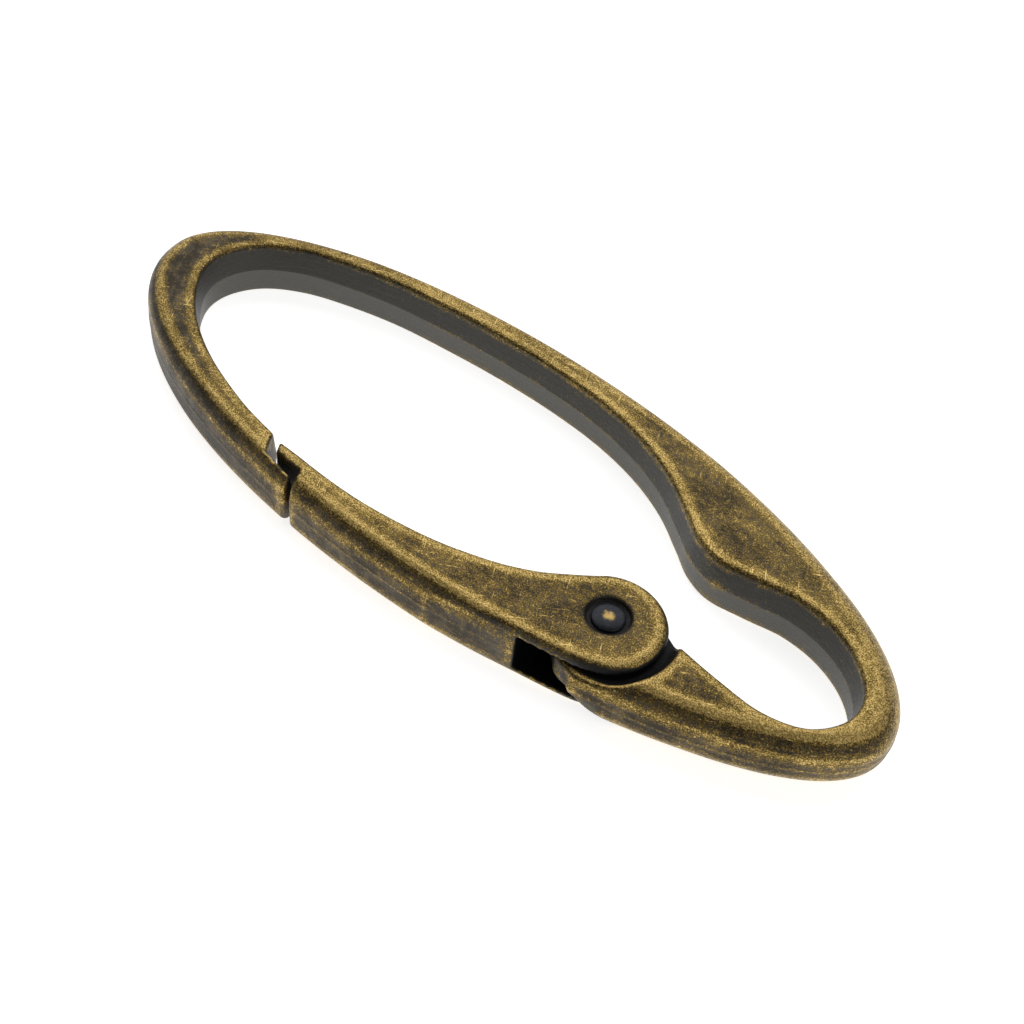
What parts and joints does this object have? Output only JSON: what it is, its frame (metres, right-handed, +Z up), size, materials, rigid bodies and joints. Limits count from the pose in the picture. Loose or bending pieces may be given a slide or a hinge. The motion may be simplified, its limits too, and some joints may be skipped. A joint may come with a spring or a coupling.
{
  "type": "carabiner keyring",
  "caption": "Oval cast snap carabiner with a sprung inward gate on a riveted hinge, a bump on the spine and a small key eye.",
  "frame": {"origin": "on the resting face, under the middle of the oval", "axes": "+X along the oval towards the small eye, +Y from the gate towards the spine, +Z up out of the flat side"},
  "size_m": [0.08, 0.0296, 0.0055],
  "materials": {
    "cast_frame": "antique brass plating, dark in the hollows and rubbed bright on the edges",
    "cast_gate": "antique brass plating, dark in the hollows and rubbed bright on the edges",
    "rivet": "darkened head with a rubbed crown",
    "spring_steel": "plain spring wire"
  },
  "bodies": {
    "body": {"body": "cast_frame", "torsion_spring": "spring_steel"},
    "gate": {"gate": "cast_gate", "pivot_rivet": "rivet"}
  },
  "joints": [
    {"name": "gate_hinge", "type": "hinge", "parent": "body", "child": "gate", "pos_m": [0.01765, -0.00645, 0.00275], "axis": [0, 0, -1], "range_deg": [0, 38], "stiffness_Nm_per_rad": 0.1, "springref_deg": -28.65, "deforming": ["torsion_spring"]}
  ]
}
